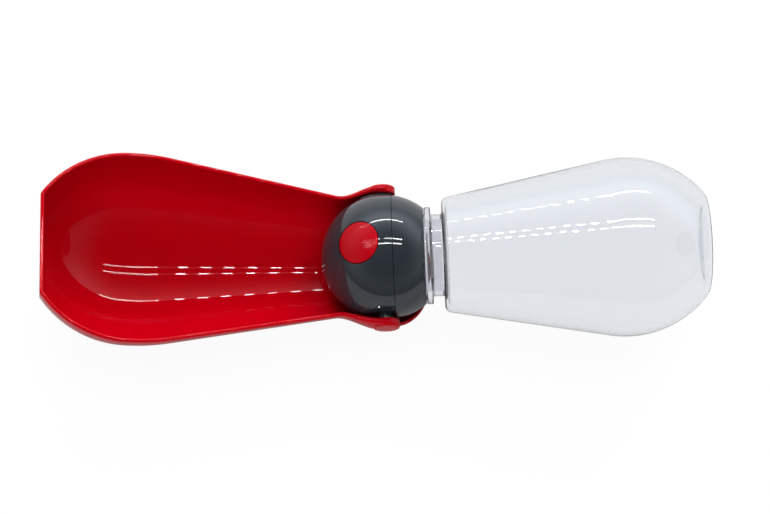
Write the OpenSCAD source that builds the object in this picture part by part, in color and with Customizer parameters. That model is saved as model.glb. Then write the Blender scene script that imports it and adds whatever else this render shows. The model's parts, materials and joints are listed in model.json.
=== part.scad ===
// Travel water bottle for dogs: a clear bottle screws into a ball-shaped valve head,
// and a half-round drinking trough, hinged on the ball, folds over the bottle.
// The part lies on a surface with the trough open. The bottle points to +X.

/* [Attitude] */
// Angle that the open trough and the bottle make between them
open_angle = 163; // [158:1:168]
// Rise of the bottle's axis from the surface
bottle_tilt = 8.5; // [6:0.5:10]

/* [Ball head] */
// Radius of the ball
ball_r = 28.25; // [27.9:0.05:28.6]
// Wall of the ball shells
shell_wall = 2; // [1.6:0.1:2.4]
// Distance from the ball's centre to the line where the two shells meet
parting_x = 4.5; // [4:0.1:5.5]
// Distance from the ball's centre to the ball's cut-off rear face
rear_x = 18.4; // [18:0.1:19]
// Distance from the ball's centre to each flat side face at the pivots
side_flat_y = 26.3; // [25.9:0.1:26.7]
// Radius of the hole where the bottle's neck screws in
collar_bore_r = 19.9; // [19.8:0.1:20.2]
// Wall of the screw collar
collar_wall = 1.8; // [1.4:0.1:2]
// Thickness of the ring that closes the ball behind
rear_plate_t = 2.6; // [2:0.1:3.2]
// Width of each water slot
slot_w = 2.2; // [1.6:0.1:2.8]
// Height of each water slot
slot_h = 9; // [7:0.5:10]
// Number of water slots
slot_count = 3; // [1:2:5]

/* [Button] */
// Lean of the button's axis, from square to the bottle's axis towards the trough
button_lean = 23; // [21:0.5:25]
// Radius of the button
button_r = 9.35; // [9:0.05:9.6]
// Gap round the button
button_gap = 0.4; // [0.35:0.05:0.5]
// How far the button goes in
button_travel = 3; // [2:0.25:3.5]
// Height of the button, from its flush top to the skirt's edge
button_h = 4.5; // [4.25:0.05:4.7]
// Thickness of the button's top
button_top_t = 2.4; // [2:0.1:2.8]
// Radius of the plunger under the button
plunger_r = 3; // [2.8:0.1:3.3]
// Distance from the ball's centre to the floor of the spring's pocket under the button
pocket_floor = 14.5; // [14.3:0.1:15]
// Thickness of the pocket's floor, which holds the plunger's seal
pocket_floor_t = 3.6; // [3.4:0.1:3.8]
// Radius of the spring's pocket
pocket_r = 5.4; // [5.2:0.05:5.5]

/* [Valve] */
// Radius of the valve stem
stem_r = 2; // [1.8:0.1:2.2]
// Radius of the cam at the stem's end
cam_r = 3.5; // [3.2:0.1:4]
// Radius of the opening that the plug closes
seat_r = 6.4; // [6:0.1:7]
// How far the plug overlaps its seat
plug_lap = 1.4; // [1:0.1:1.8]
// Thickness of the plug
plug_t = 2.4; // [2:0.1:2.8]
// Thickness of the valve body's plate
plate_t = 3.2; // [2.8:0.1:3.6]
// Length of the spring between the plug and its seat
valve_spring_l = 7; // [6.5:0.25:7.5]
// Thickness of the spring's seat at the cage's end
spring_seat_t = 1.4; // [1.2:0.1:1.8]

/* [Bottle] */
// Length from the ball's centre to the base
bottle_l = 144.4; // [138:0.2:146]
// Wall of the bottle
bottle_wall = 1.2; // [1:0.1:1.4]
// Outer radius of the neck
neck_r = 18.4; // [18.2:0.1:18.6]
// Wall of the neck
neck_wall = 2; // [1.6:0.1:2.2]
// Where the neck's lip is, from the ball's centre
neck_start = 9; // [8.9:0.1:9.6]
// Radius of the stop flange on the neck
flange_r = 21.8; // [21.4:0.1:22]
// Thickness of the stop flange
flange_t = 2.9; // [2.4:0.1:3]
// Where the shoulder is, from the ball's centre
shoulder_x = 26.5; // [26:0.1:27]
// Radius of the bottle just past the shoulder
shoulder_r = 26; // [25.6:0.1:26.4]
// Rounding of the shoulder
shoulder_round = 3.2; // [2.6:0.2:3.6]
// Largest radius of the bottle
belly_r = 40; // [39.2:0.1:40.3]
// Distance from the largest radius to the base
belly_from_base = 36.4; // [35:0.2:38]
// Radius of the curve along the bottle's belly
belly_curve = 46; // [44:0.5:50]
// Rounding of the base's edge
base_round = 5; // [4:0.25:6]

/* [Trough] */
// Length from the ball's centre to the end wall
trough_l = 153.2; // [152.4:0.2:157]
// Wall of the trough
trough_wall = 1.8; // [1.5:0.1:2]
// Outer radius at the widest place
trough_r = 43.1; // [42.9:0.1:44.4]
// Distance from the widest place to the end wall
trough_belly_from_end = 39.2; // [37:0.2:40]
// Length of the widest place
trough_belly_l = 2; // [1:0.5:4]
// Radius of the curve from the straight flank to the widest place
trough_near_curve = 90; // [80:2:96]
// Radius of the curve from the widest place to the end wall
trough_far_curve = 47.6; // [46.6:0.2:50]
// Draft of the end wall, in degrees
end_draft = 6; // [3:0.5:7]
// Slope of the straight flank, in degrees
trough_flank = 10.3; // [10:0.1:10.6]
// Gap between the ball and the trough's cup
cup_gap = 1.75; // [1.6:0.05:2]
// Wall of the cup
cup_wall = 1.6; // [1.4:0.1:1.8]
// Clearance between the cup's tail and the bottle's flange, in degrees
tail_gap = 4; // [3:0.5:6]
// Radius of the resting pad under the cup
foot_r = 6; // [5:0.25:6.5]
// How far the pad stands out of the cup
foot_out = 0.5; // [0.3:0.1:1]
// Offset of the pad from the ball's centre towards the bottle
foot_x = 2; // [1:0.25:2.5]

/* [Pivots] */
// Radius of the pivot pins
pin_r = 2; // [1.8:0.1:2.2]
// Length of each pin inside the ball
pin_in = 5; // [4.4:0.1:5.4]
// Radius of each ear
ear_r = 6; // [5.6:0.1:6.4]
// How far each ear stands out of the cup
ear_out = 1.4; // [1.2:0.1:1.8]
// Radius of the bush between the ball and each ear
bush_r = 3.6; // [3.2:0.1:3.9]

/* [Hidden] */
$fn = 96;
// Radial clearance of a running fit
run_fit = 0.05;
// Gap between faces that seat on each other
seat_gap = 0.05;
// Length that a cutter runs past the face that it cuts
past = 1;
trough_tilt = 180 - open_angle - bottle_tilt;
ball_in_r = ball_r - shell_wall;
cup_in_r = ball_r + cup_gap;
cup_out_r = cup_in_r + cup_wall;
// Gap between the head's rear face and the bottle's flange
flange_gap = 0.2;
flange_end = rear_x + flange_t + flange_gap;
neck_bore = neck_r - neck_wall;
// The valve body sits between the collar's lip and the gasket
lip_t = 1.2;
gasket_t = 2.2;
plate_end = neck_start - gasket_t - seat_gap;
plate_start = plate_end - plate_t;
lip_start = plate_start - lip_t - seat_gap;
collar_r = collar_bore_r + collar_wall;
plug_r = seat_r + plug_lap;
plug_end = plate_end + seat_gap + plug_t;
retainer_t = 0.9;
retainer_end = plug_end + seat_gap + retainer_t;
spring_start = retainer_end + seat_gap;
seat_start = spring_start + valve_spring_l + seat_gap;
cage_end = seat_start + spring_seat_t + 1.2;
cage_in = plug_r + 0.8;
cage_wall = 1.6;
hub_r = stem_r + 1.4;
rib_w = 1.6;
window_w = cage_in;
// The cam's slope makes the stem move as far as the button does
cam_slope = atan((1 - sin(button_lean)) / cos(button_lean));
cam_play = 0.06;
// Where the cam's slope crosses the stem's axis
cam_x = -3;
cam_end = plate_start - button_travel - 0.25;
skirt_wall = 1.6;
button_in_r = button_r - skirt_wall;
button_roof = ball_r - button_top_t - 1.6;
well_r = button_r + button_gap;
well_wall = 1.6;
well_floor = ball_r - button_h - button_travel - 0.35;
pocket_wall = 1;
ring_groove_t = 2;
ring_section_r = 0.85;
ring_r = plunger_r + 0.15 + ring_section_r;
clip_t = 0.7;
boss_r = ear_r + 1.5;
boss_in = side_flat_y - pin_in - 0.6;
ear_in = cup_in_r - 0.7;
ear_end = cup_out_r + ear_out;
ear_skin = 0.8;
// Height of the dome on an ear, and how much smaller its top is
ear_dome = 1.2;
ear_dome_in = 1.6;
// Where the trough's turned body starts, inside the cup's ball
trough_start = 8;
// Angle between neighbouring water slots, and how far they are turned down the ball's front
slot_pitch_angle = 9;
slot_turn = 10;
// How far the pad's root stays below the cup's inside
foot_skin = 0.3;
// The rear shell's rim that reaches into the front shell
rim_out_r = ball_in_r - 0.8;
rim_wall = 1.4;
rim_reach = 2.4;
rim_web_t = 1.6;
collar_room = 0.3;
belly_x = bottle_l - belly_from_base;
far_x = trough_l - trough_belly_from_end;
trough_belly_x = far_x - trough_belly_l;
// Half the flat end of each arm, for the part's place on the surface
base_flat_r = belly_r - belly_curve
    + sqrt(pow(belly_curve - base_round, 2) - pow(bottle_l - base_round - belly_x, 2));
end_round = 2.5;
end_flat_r = trough_r - trough_far_curve
    + sqrt(pow(trough_far_curve - end_round, 2) - pow(trough_l - end_round - far_x, 2));
reach_right = (bottle_l - base_round) * cos(bottle_tilt) + base_flat_r * sin(bottle_tilt)
    + base_round;
reach_left = (trough_l - end_round) * cos(trough_tilt) + end_flat_r * sin(trough_tilt)
    + end_round;
origin_x = (reach_left - reach_right) / 2;
origin_z = cup_out_r + foot_out;
// Width of the collar's lip that the valve body seats on
lip_w = 2.6;

// Points of an arc, from one angle to another
function arc(x, r, radius, from, to, steps) =
    [for (i = [0:steps]) let (a = from + (to - from) * i / steps)
        [x + radius * cos(a), r + radius * sin(a)]];

// Swap a list of [along, radius] points into the [radius, along] that a turned shape takes
function turned(points) = [for (p = points) [p[1], p[0]]];

// Turn an outline of [along, radius] points about X
module turn_x(points) {
    rotate([0, 90, 0])
        rotate_extrude()
            polygon(turned(points));
}

// A round bar along X
module bar_x(r, from, to) {
    translate([from, 0, 0])
        rotate([0, 90, 0])
            cylinder(r = r, h = to - from);
}

// A round bar along Y
module bar_y(r, from, to) {
    translate([0, from, 0])
        rotate([-90, 0, 0])
            cylinder(r = r, h = to - from);
}

// A tube along X
module tube_x(r_out, r_in, from, to) {
    difference() {
        bar_x(r_out, from, to);
        bar_x(r_in, from - past, to + past);
    }
}

// The bottle's and the head's own frame: the ball's centre, with X along the bottle
module bottle_frame() {
    translate([origin_x, 0, origin_z])
        rotate([0, -bottle_tilt, 0])
            children();
}

// The trough's own frame: X from the ball to the end wall, with the bowl below
module trough_frame() {
    translate([origin_x, 0, origin_z])
        rotate([0, trough_tilt, 0])
            rotate([0, 0, 180])
                children();
}

// The button's frame: Z out of the ball along the button's axis
module button_frame() {
    bottle_frame()
        rotate([0, -button_lean, 0])
            children();
}

// A wound wire along Z, with closed ends
module coil(coil_r, wire_r, length, turns, sides = 6, per_turn = 14) {
    rings = turns * per_turn;
    rise = (length - 2 * wire_r) / rings;
    points = [for (i = [0:rings]) let (a = 360 * i / per_turn)
        for (j = [0:sides - 1]) let (b = 360 * j / sides)
            [(coil_r + wire_r * cos(b)) * cos(a), (coil_r + wire_r * cos(b)) * sin(a),
             wire_r + rise * i + wire_r * sin(b)]];
    skin = [for (i = [0:rings - 1]) for (j = [0:sides - 1]) let (k = (j + 1) % sides)
        [i * sides + j, i * sides + k, (i + 1) * sides + k, (i + 1) * sides + j]];
    start = [[for (j = [0:sides - 1]) sides - 1 - j]];
    end = [[for (j = [0:sides - 1]) rings * sides + j]];
    mirror([0, 0, 1])
        translate([0, 0, -length])
            polyhedron(points, concat(skin, start, end));
}

// The bottle's body outline, set in by one wall where asked; its straight flank touches
// the shoulder's rounding and the belly's curve
function bottle_outline(inset) =
    let (rise = shoulder_r - shoulder_round - belly_r + belly_curve)
    let (run = belly_x - shoulder_x - shoulder_round)
    let (a = asin((belly_curve - shoulder_round) / norm([rise, run])) - atan2(rise, run))
    let (corner_x = bottle_l - base_round)
    let (b = acos((corner_x - belly_x) / (belly_curve - base_round)))
    concat(
        arc(shoulder_x + shoulder_round, shoulder_r - shoulder_round,
            shoulder_round - inset, 180, 90 + a, 6),
        arc(belly_x, belly_r - belly_curve, belly_curve - inset, 90 + a, b, 16),
        arc(corner_x, base_flat_r, base_round - inset, b, 0, 6));

module bottle() {
    color([0.88, 0.91, 0.94, 0.4])
        bottle_frame()
            difference() {
                union() {
                    turn_x(concat([[shoulder_x, 0]], bottle_outline(0), [[bottle_l, 0]]));
                    bar_x(neck_r, neck_start, shoulder_x + past);
                    bar_x(flange_r, rear_x + flange_gap, flange_end);
                }
                turn_x(concat([[shoulder_x + bottle_wall, 0]], bottle_outline(bottle_wall),
                    [[bottle_l - bottle_wall, 0]]));
                bar_x(neck_bore, neck_start - past, shoulder_x + 2 * bottle_wall);
            }
}

// The trough's outline, set in by one wall where asked
function trough_outline(inset) =
    let (near_x = trough_belly_x - trough_near_curve * sin(trough_flank))
    let (near_r = trough_r - trough_near_curve * (1 - cos(trough_flank)))
    let (corner_x = trough_l - end_round)
    let (b = acos((corner_x - far_x) / (trough_far_curve - end_round)))
    concat(
        [[trough_start, near_r - (near_x - trough_start) * tan(trough_flank)
            - inset / cos(trough_flank)]],
        arc(trough_belly_x, trough_r - trough_near_curve, trough_near_curve - inset,
            90 + trough_flank, 90, 5),
        arc(far_x, trough_r - trough_far_curve, trough_far_curve - inset, 90, b, 14),
        arc(corner_x, end_flat_r, end_round - inset, b, 0, 4));

// The space from the rim down to the end of the cup's tail, as a wedge about Y
module under_rim() {
    flange_angle = atan2(flange_r, flange_end);
    tail = 180 - flange_angle - tail_gap + (180 - open_angle);
    size = 2 * trough_l;
    rotate([90, 0, 0])
        translate([0, 0, -size / 2])
            linear_extrude(size)
                polygon([[0, 0], [size, 0], [size, -size], [-size * 0.2, -size],
                    [-size * cos(180 - tail), -size * sin(180 - tail)]]);
}

module trough() {
    color([0.72, 0.02, 0.07])
        trough_frame()
            difference() {
                union() {
                    difference() {
                        intersection() {
                            trough_solid(cup_out_r, 0);
                            under_rim();
                        }
                        trough_solid(cup_in_r, trough_wall);
                    }
                    trough_ear();
                    mirror([0, 1, 0])
                        trough_ear();
                    foot();
                }
                bar_y(pin_r + run_fit / 2, -ear_end + ear_skin, ear_end - ear_skin);
            }
}

// The cup's ball and the turned body of the trough, filled
module trough_solid(cup_r, inset) {
    intersection() {
        union() {
            sphere(cup_r);
            turn_x(concat([[trough_start, 0]], trough_outline(inset), [[trough_l - inset, 0]]));
        }
        end_wall_side(inset);
    }
}

// Everything on the ball's side of the end wall, which leans out towards its rim
module end_wall_side(inset) {
    size = 2 * trough_l;
    translate([trough_l, 0, 0])
        rotate([0, end_draft, 0])
            translate([-size - inset, -size / 2, -size / 2])
                cube(size);
}

// One ear round a pivot, with a domed outer face
module trough_ear() {
    bar_y(ear_r, ear_in, ear_end - ear_dome);
    translate([0, ear_end - ear_dome, 0])
        rotate([-90, 0, 0])
            cylinder(r1 = ear_r, r2 = ear_r - ear_dome_in, h = ear_dome);
}

// The pad that the open trough rests on, level with the surface
module foot() {
    rotate([0, 0, 180])
        rotate([0, -trough_tilt, 0])
            translate([foot_x, 0, -origin_z])
                cylinder(r = foot_r, h = origin_z - cup_in_r - foot_skin);
}

module head_front_shell() {
    color([0.3, 0.32, 0.35])
        difference() {
            union() {
                bottle_frame()
                    difference() {
                        sphere(ball_r);
                        sphere(ball_in_r);
                    }
                intersection() {
                    bottle_frame()
                        sphere(ball_r - shell_wall / 2);
                    button_frame() {
                        translate([0, 0, well_floor - well_wall])
                            cylinder(r = well_r + well_wall, h = ball_r);
                        translate([0, 0, pocket_floor - pocket_floor_t])
                            cylinder(r = pocket_r + pocket_wall, h = ball_r / 2);
                    }
                }
                bottle_frame() {
                    side_wall();
                    mirror([0, 1, 0])
                        side_wall();
                }
            }
            button_frame() {
                translate([0, 0, well_floor])
                    cylinder(r = well_r, h = ball_r);
                translate([0, 0, pocket_floor])
                    cylinder(r = pocket_r, h = ball_r);
                cylinder(r = plunger_r + run_fit, h = ball_r);
                translate([0, 0, pocket_floor - (pocket_floor_t + ring_groove_t) / 2])
                    cylinder(r = ring_r + ring_section_r + 0.1, h = ring_groove_t);
            }
            bottle_frame() {
                bar_x(ball_r + past, parting_x - seat_gap / 2, ball_r + 2 * past);
                bar_x(collar_r + collar_room, lip_start - collar_room, ball_r);
                for (side = [-1, 1])
                    translate([0, side * (side_flat_y + ball_r / 2), 0])
                        cube([2 * ball_r, ball_r, 2 * ball_r], center = true);
                bar_y(pin_r + run_fit, -ball_r, ball_r);
                for (i = [0:slot_count - 1])
                    rotate([0, -slot_turn, (i - (slot_count - 1) / 2) * slot_pitch_angle])
                        translate([-ball_r, 0, 0])
                            cube([3 * shell_wall, slot_w, slot_h], center = true);
            }
        }
}

// The wall behind a flat side face, and the boss that a pivot pin turns in
module side_wall() {
    flat_r = sqrt(pow(ball_r, 2) - pow(side_flat_y, 2));
    bar_y(flat_r + 1.2, side_flat_y - shell_wall, side_flat_y);
    bar_y(boss_r, boss_in, side_flat_y);
}

module head_rear_shell() {
    color([0.3, 0.32, 0.35])
        bottle_frame() {
            rotate([0, 90, 0])
                rotate_extrude()
                    rear_shell_section();
            locating_rim();
        }
}

// Half section of the rear shell: radius across, distance along the bottle's axis up
module rear_shell_section() {
    start = parting_x + seat_gap / 2;
    rim_in_r = rim_out_r - rim_wall;
    intersection() {
        difference() {
            circle(ball_r);
            circle(ball_in_r);
        }
        translate([0, start])
            square([ball_r, rear_x - start]);
    }
    intersection() {
        circle(ball_r - shell_wall / 4);
        translate([collar_bore_r, rear_x - rear_plate_t])
            square([ball_r, rear_plate_t]);
    }
    translate([collar_bore_r, lip_start])
        square([collar_wall, rear_x - rear_plate_t / 2 - lip_start]);
    translate([collar_bore_r - lip_w, lip_start])
        square([lip_w + collar_wall / 2, lip_t]);
    translate([rim_in_r, start])
        square([ball_in_r + shell_wall / 4 - rim_in_r, rim_web_t]);
}

// A rim that centres the front shell, cut away at the button's well and at the pivots
module locating_rim() {
    end = parting_x + rim_web_t / 2;
    difference() {
        tube_x(rim_out_r, rim_out_r - rim_wall, parting_x - rim_reach, end);
        translate([-ball_r, -ball_r, -boss_r - 1])
            cube(2 * ball_r);
    }
}

module valve_body() {
    color([0.9, 0.9, 0.88])
        bottle_frame() {
            difference() {
                rotate([0, 90, 0])
                    rotate_extrude()
                        valve_section();
                for (turn = [0:2])
                    rotate([120 * turn, 0, 0])
                        translate([plate_end + 0.4, -window_w / 2, 0])
                            cube([seat_start - plate_end - 1.4, window_w, 2 * cage_in]);
            }
            spider();
        }
}

// Half section of the valve plate with its seat, and of the cage round the spring
module valve_section() {
    translate([seat_r, plate_start])
        square([collar_bore_r - run_fit - seat_r, plate_t]);
    difference() {
        translate([cage_in, plate_end - 0.2])
            square([cage_wall, cage_end - plate_end + 0.2]);
        translate([0, seat_start])
            square([cage_in + cage_wall / 2, spring_seat_t + seat_gap]);
    }
}

// The hub that guides the stem, on three ribs across the seat's opening
module spider() {
    inset = 0.4;
    difference() {
        union() {
            bar_x(hub_r, plate_start + inset, plate_end - inset);
            for (turn = [0:2])
                rotate([120 * turn + 60, 0, 0])
                    translate([plate_start + 2 * inset, -rib_w / 2, 0])
                        cube([plate_t - 4 * inset, rib_w, seat_r + inset]);
        }
        bar_x(stem_r + run_fit, plate_start - past, plate_end + past);
    }
}

module spring_seat() {
    color([0.9, 0.9, 0.88])
        bottle_frame()
            difference() {
                bar_x(cage_in + cage_wall / 2 - run_fit, seat_start + seat_gap / 2,
                    seat_start + spring_seat_t);
                bar_x(stem_r + 0.4, seat_start - past, cage_end + past);
                for (turn = [0:5])
                    rotate([60 * turn, 0, 0])
                        translate([0, 0, (cage_in + stem_r) / 2 + 0.9])
                            bar_x(1.3, seat_start - past, cage_end + past);
            }
}

// Everything on the stem's side of the sloping face between the cam and the plunger
module cam_side(play) {
    size = 2 * ball_r;
    translate([cam_x, 0, 0])
        rotate([0, cam_slope, 0])
            translate([play, -size / 2, -size / 2])
                cube(size);
}

module valve_stem() {
    color([0.75, 0.77, 0.8])
        bottle_frame() {
            intersection() {
                bar_x(cam_r, -ball_r / 2, cam_end);
                cam_side(cam_play / 2);
            }
            bar_x(stem_r, cam_end - 0.1, seat_start - 0.6);
        }
}

module valve_plug() {
    color([0.75, 0.08, 0.1])
        bottle_frame()
            tube_x(plug_r, stem_r + 0.02, plate_end + seat_gap, plug_end);
}

module plug_retainer() {
    color([0.75, 0.77, 0.8])
        bottle_frame()
            tube_x(stem_r + 3.2, stem_r + 0.02, plug_end + seat_gap / 2, retainer_end);
}

module valve_spring() {
    color([0.75, 0.77, 0.8])
        bottle_frame()
            translate([spring_start, 0, 0])
                rotate([0, 90, 0])
                    coil(coil_r = stem_r + 1.6, wire_r = 0.4, length = valve_spring_l, turns = 4);
}

module neck_gasket() {
    color([0.12, 0.12, 0.13])
        bottle_frame()
            tube_x(neck_r + 0.2, neck_bore, plate_end + seat_gap, neck_start - seat_gap);
}

module button() {
    color([0.75, 0.07, 0.12])
        difference() {
            intersection() {
                bottle_frame()
                    sphere(ball_r);
                button_frame()
                    translate([0, 0, ball_r - button_h])
                        cylinder(r = button_r, h = button_h + past);
            }
            button_frame()
                translate([0, 0, ball_r - button_h - past])
                    difference() {
                        cylinder(r = button_in_r, h = button_roof - ball_r + button_h + past);
                        cylinder(r = plunger_r + 0.8, h = ball_r);
                    }
            button_frame()
                cylinder(r = plunger_r + 0.02, h = button_roof);
        }
}

module button_plunger() {
    color([0.9, 0.9, 0.88])
        difference() {
            button_frame()
                difference() {
                    translate([0, 0, -2 * plunger_r])
                        cylinder(r = plunger_r, h = button_roof - seat_gap + 2 * plunger_r);
                    translate([0, 0, clip_z()])
                        difference() {
                            cylinder(r = plunger_r + past, h = clip_t + 0.1);
                            cylinder(r = plunger_r - 0.6, h = clip_t + 0.1);
                        }
                }
            bottle_frame()
                cam_side(-cam_play / 2);
        }
}

// Height of the plunger's clip groove: just under the pocket's floor
function clip_z() = pocket_floor - pocket_floor_t - clip_t - 0.15;

module plunger_clip() {
    color([0.75, 0.77, 0.8])
        button_frame()
            translate([0, 0, clip_z() + 0.05])
                difference() {
                    cylinder(r = plunger_r + 1.5, h = clip_t);
                    translate([0, 0, -past])
                        cylinder(r = plunger_r - 0.58, h = clip_t + 2 * past);
                    translate([0, -plunger_r * 0.7, -past])
                        cube([2 * plunger_r, plunger_r * 1.4, clip_t + 2 * past]);
                }
}

module button_spring() {
    wire_r = 0.4;
    color([0.75, 0.77, 0.8])
        button_frame()
            translate([0, 0, pocket_floor + seat_gap])
                coil(coil_r = (plunger_r + 0.8 + pocket_r) / 2, wire_r = wire_r, turns = 5,
                    length = button_roof - pocket_floor - 2 * seat_gap);
}

module button_o_ring() {
    color([0.12, 0.12, 0.13])
        button_frame()
            translate([0, 0, pocket_floor - pocket_floor_t / 2])
                rotate_extrude()
                    translate([ring_r, 0])
                        circle(r = ring_section_r, $fn = 48);
}

module pivot_pin(side) {
    color([0.78, 0.8, 0.82])
        trough_frame()
            mirror([0, side < 0 ? 1 : 0, 0])
                bar_y(pin_r, side_flat_y - pin_in, ear_end - ear_skin - seat_gap);
}

module pivot_bush(side) {
    color([0.15, 0.16, 0.17])
        bottle_frame()
            mirror([0, side < 0 ? 1 : 0, 0])
                difference() {
                    bar_y(bush_r, side_flat_y + seat_gap, ear_in - seat_gap);
                    bar_y(pin_r + run_fit, side_flat_y - past, cup_out_r);
                }
}

bottle();
trough();
head_front_shell();
head_rear_shell();
valve_body();
valve_stem();
valve_plug();
plug_retainer();
valve_spring();
spring_seat();
neck_gasket();
button();
button_plunger();
plunger_clip();
button_spring();
button_o_ring();
pivot_pin(1);  // pivot_pin_near
pivot_pin(-1);  // pivot_pin_far
pivot_bush(-1);  // pivot_bush_near
pivot_bush(1);  // pivot_bush_far
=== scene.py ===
"""Dog travel water bottle: a clear bottle, a grey ball-shaped valve head and a red drinking trough.

The bottle, the trough with its ears and foot, the button, a dark strip of painted shadow along the gap
between the ball's shells and the two springs are outlines and grids worked out with numpy. The rest, the two
ball shells among them, are the CAD pieces with their materials.
Lengths in the shape functions are millimetres in each arm's own frame: the origin is the ball's centre and X
runs along the arm. place_bottle, place_trough and place_button turn them into the row frame in metres.
"""

import json
import math

import bmesh
import bpy
import numpy as np
from mathutils import Matrix, Vector


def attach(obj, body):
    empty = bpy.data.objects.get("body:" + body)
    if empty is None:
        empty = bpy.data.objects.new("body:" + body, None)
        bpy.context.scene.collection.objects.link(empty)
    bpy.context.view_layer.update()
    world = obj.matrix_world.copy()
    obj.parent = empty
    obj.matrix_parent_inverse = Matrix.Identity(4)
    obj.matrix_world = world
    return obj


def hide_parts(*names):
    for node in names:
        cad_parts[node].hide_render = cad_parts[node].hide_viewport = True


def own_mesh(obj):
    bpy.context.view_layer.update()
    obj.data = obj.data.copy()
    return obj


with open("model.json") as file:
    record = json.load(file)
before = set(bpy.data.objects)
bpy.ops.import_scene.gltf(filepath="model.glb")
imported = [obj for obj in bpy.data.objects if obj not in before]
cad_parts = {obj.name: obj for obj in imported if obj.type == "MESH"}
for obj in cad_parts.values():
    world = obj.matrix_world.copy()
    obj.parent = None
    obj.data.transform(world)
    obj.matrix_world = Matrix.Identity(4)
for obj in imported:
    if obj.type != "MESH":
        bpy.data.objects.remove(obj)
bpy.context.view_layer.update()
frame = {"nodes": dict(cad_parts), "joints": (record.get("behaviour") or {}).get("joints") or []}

MM = 0.001
hinge = next(j for j in frame["joints"] if j["name"] == "trough_hinge")
slide = next(j for j in frame["joints"] if j["name"] == "valve_slide")
press = next(j for j in frame["joints"] if j["name"] == "button_press")
BALL_CENTRE = np.array(hinge["pos_m"])
BOTTLE_TILT = math.atan2(slide["axis"][2], slide["axis"][0])
OPEN_ANGLE = math.radians(hinge["range_deg"][1])
TROUGH_TILT = math.pi - OPEN_ANGLE - BOTTLE_TILT
BUTTON_OUT = -np.array(press["axis"])
BOTTLE_AXIS = np.array(slide["axis"])

# Driving sizes, in millimetres
BALL_R = 28.25
PARTING_X = 4.5
SIDE_FLAT_Y = 26.3
CUP_IN_R = 30.0
CUP_OUT_R = 31.6
TROUGH_WALL = 1.8
BOTTLE_WALL = 1.2
NECK_SHADE_END, BODY_SHADE_START = 25.6, 27.0   # where the neck's greyer tint turns into the body's


# ---------------------------------------------------------------- camera and light

FRAME_W, FRAME_H = 770, 514
BALL_PX = (384.0, 257.5)          # where the ball's centre lies in the frame
MM_PER_PX = 0.4484                # at the ball
CAMERA_DISTANCE = 0.95
CAMERA_ELEVATION = math.radians(73.2)
CAMERA_SWING = math.radians(7.1)  # towards the trough's end, about the hinge's direction
CAMERA_ROLL = math.radians(-2.1)


def aim(position, target):
    """The rotation that makes -Z look from position to target with +Y up."""
    return Vector(np.subtract(target, position)).to_track_quat("-Z", "Y").to_matrix().to_4x4()


def make_camera():
    """A long lens above and in front of the ball, aimed so that the ball falls on its place in the frame."""
    data = bpy.data.cameras.new("camera")
    data.sensor_width = 36.0
    data.lens = CAMERA_DISTANCE / (MM_PER_PX * MM) * data.sensor_width / FRAME_W
    camera = bpy.data.objects.new("camera", data)
    bpy.context.scene.collection.objects.link(camera)
    e, w = CAMERA_ELEVATION, CAMERA_SWING
    out = np.array([-math.sin(e) * math.sin(w), -math.cos(e), math.sin(e) * math.cos(w)])
    level = np.array([math.cos(w), 0, math.sin(w)])
    upright = np.cross(out, level)
    right = level * math.cos(CAMERA_ROLL) + upright * math.sin(CAMERA_ROLL)
    up = upright * math.cos(CAMERA_ROLL) - level * math.sin(CAMERA_ROLL)
    shift = right * (FRAME_W / 2 - BALL_PX[0]) + up * (BALL_PX[1] - FRAME_H / 2)
    place = BALL_CENTRE + shift * MM_PER_PX * MM + out * CAMERA_DISTANCE
    matrix = Matrix(np.column_stack([right, up, out]).tolist()).to_4x4()
    matrix.translation = place
    camera.matrix_world = matrix
    data.clip_end = 20
    bpy.context.scene.camera = camera


def add_area(name, place, size, power):
    """A soft rectangular lamp facing the ball, power in watts, that shows in no gloss."""
    data = bpy.data.lights.new(name, "AREA")
    data.shape = "RECTANGLE"
    data.size, data.size_y = size
    data.energy = power
    lamp = bpy.data.objects.new(name, data)
    bpy.context.scene.collection.objects.link(lamp)
    matrix = aim(place, BALL_CENTRE)
    matrix.translation = place
    lamp.matrix_world = matrix
    lamp.visible_glossy = False
    lamp.visible_transmission = False


STRIP_PITCH = 0.0207              # from one bright length to the next, in metres
STRIP_LIT = 0.4                   # the share of each pitch that is bright
STRIP_BRIGHT, STRIP_BETWEEN = 90.0, 1.0
STRIP_DISTANCE = 0.9              # from the ball's centre, in metres
STRIP_ENDS = (-0.78, 0.42)        # along X from the ball's centre, in metres
STRIP_W = 0.026                   # in metres


def strip_material(start):
    """A lamp strip: along X, evenly spaced bright lengths on a faint glow. start is where along X one
    begins."""
    material = bpy.data.materials.new("lamp_strip")
    material.use_nodes = True
    tree = material.node_tree
    tree.nodes.clear()
    coord = add_node(tree, "ShaderNodeTexCoord").outputs["Object"]
    x = add_node(tree, "ShaderNodeSeparateXYZ", {0: coord}).outputs["X"]
    step = add_node(tree, "ShaderNodeMath", {0: x, 1: 1 / STRIP_PITCH, 2: -start / STRIP_PITCH},
                    operation="MULTIPLY_ADD")
    part = add_node(tree, "ShaderNodeMath", {0: step.outputs[0]}, operation="FRACT")
    on = add_node(tree, "ShaderNodeMath", {0: part.outputs[0], 1: STRIP_LIT}, operation="LESS_THAN")
    level = add_node(tree, "ShaderNodeMath",
                     {0: on.outputs[0], 1: STRIP_BRIGHT - STRIP_BETWEEN, 2: STRIP_BETWEEN},
                     operation="MULTIPLY_ADD")
    glow = add_node(tree, "ShaderNodeEmission", {"Color": (1, 1, 1, 1), "Strength": level.outputs[0]})
    add_node(tree, "ShaderNodeOutputMaterial", {"Surface": glow.outputs[0]})
    return material


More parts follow.
